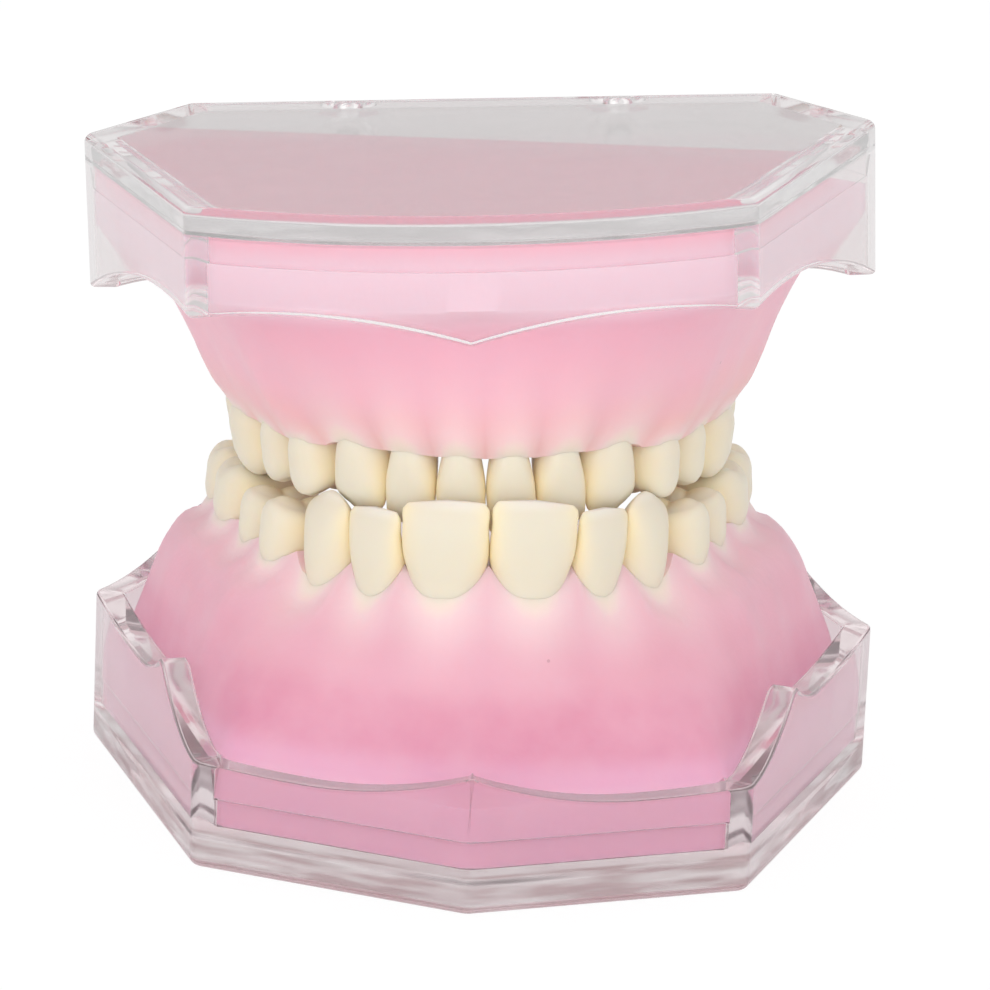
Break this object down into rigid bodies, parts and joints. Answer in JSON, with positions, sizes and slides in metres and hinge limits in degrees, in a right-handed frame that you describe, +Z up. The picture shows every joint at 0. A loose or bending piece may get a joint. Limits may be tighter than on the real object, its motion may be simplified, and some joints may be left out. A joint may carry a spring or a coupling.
{
  "type": "typodont model",
  "caption": "Dental teaching model: clear moulded upper and lower trays filled with pink wax gums that hold loose ivory teeth by their roots, the halves resting in bite.",
  "frame": {"origin": "on the underside of the upper tray, at the middle of its plan", "axes": "+Z up from the surface it stands on, -Y towards the front teeth, +X towards the right teeth of the person it stands for"},
  "size_m": [0.0858, 0.0728, 0.0709],
  "materials": {
    "clear_plastic": "clear and polished",
    "pink_wax": "satin, slightly translucent",
    "ivory_resin": "satin gloss"
  },
  "bodies": {
    "upper_half": {"upper_tray": "clear_plastic", "upper_wax": "pink_wax", "upper_left_central_incisor": "ivory_resin", "upper_left_lateral_incisor": "ivory_resin", "upper_left_canine": "ivory_resin", "upper_left_first_premolar": "ivory_resin", "upper_left_second_premolar": "ivory_resin", "upper_left_first_molar": "ivory_resin", "upper_left_second_molar": "ivory_resin", "upper_right_central_incisor": "ivory_resin", "upper_right_lateral_incisor": "ivory_resin", "upper_right_canine": "ivory_resin", "upper_right_first_premolar": "ivory_resin", "upper_right_second_premolar": "ivory_resin", "upper_right_first_molar": "ivory_resin", "upper_right_second_molar": "ivory_resin"},
    "lower_half": {"lower_tray": "clear_plastic", "lower_wax": "pink_wax", "lower_left_central_incisor": "ivory_resin", "lower_left_lateral_incisor": "ivory_resin", "lower_left_canine": "ivory_resin", "lower_left_first_premolar": "ivory_resin", "lower_left_second_premolar": "ivory_resin", "lower_left_first_molar": "ivory_resin", "lower_left_second_molar": "ivory_resin", "lower_right_central_incisor": "ivory_resin", "lower_right_lateral_incisor": "ivory_resin", "lower_right_canine": "ivory_resin", "lower_right_first_premolar": "ivory_resin", "lower_right_second_premolar": "ivory_resin", "lower_right_first_molar": "ivory_resin", "lower_right_second_molar": "ivory_resin"}
  },
  "joints": [
    {"name": "lower_half_lift", "type": "slide", "parent": "upper_half", "child": "lower_half", "axis": [0, 0, 1], "range_m": [0, 0.05]}
  ]
}
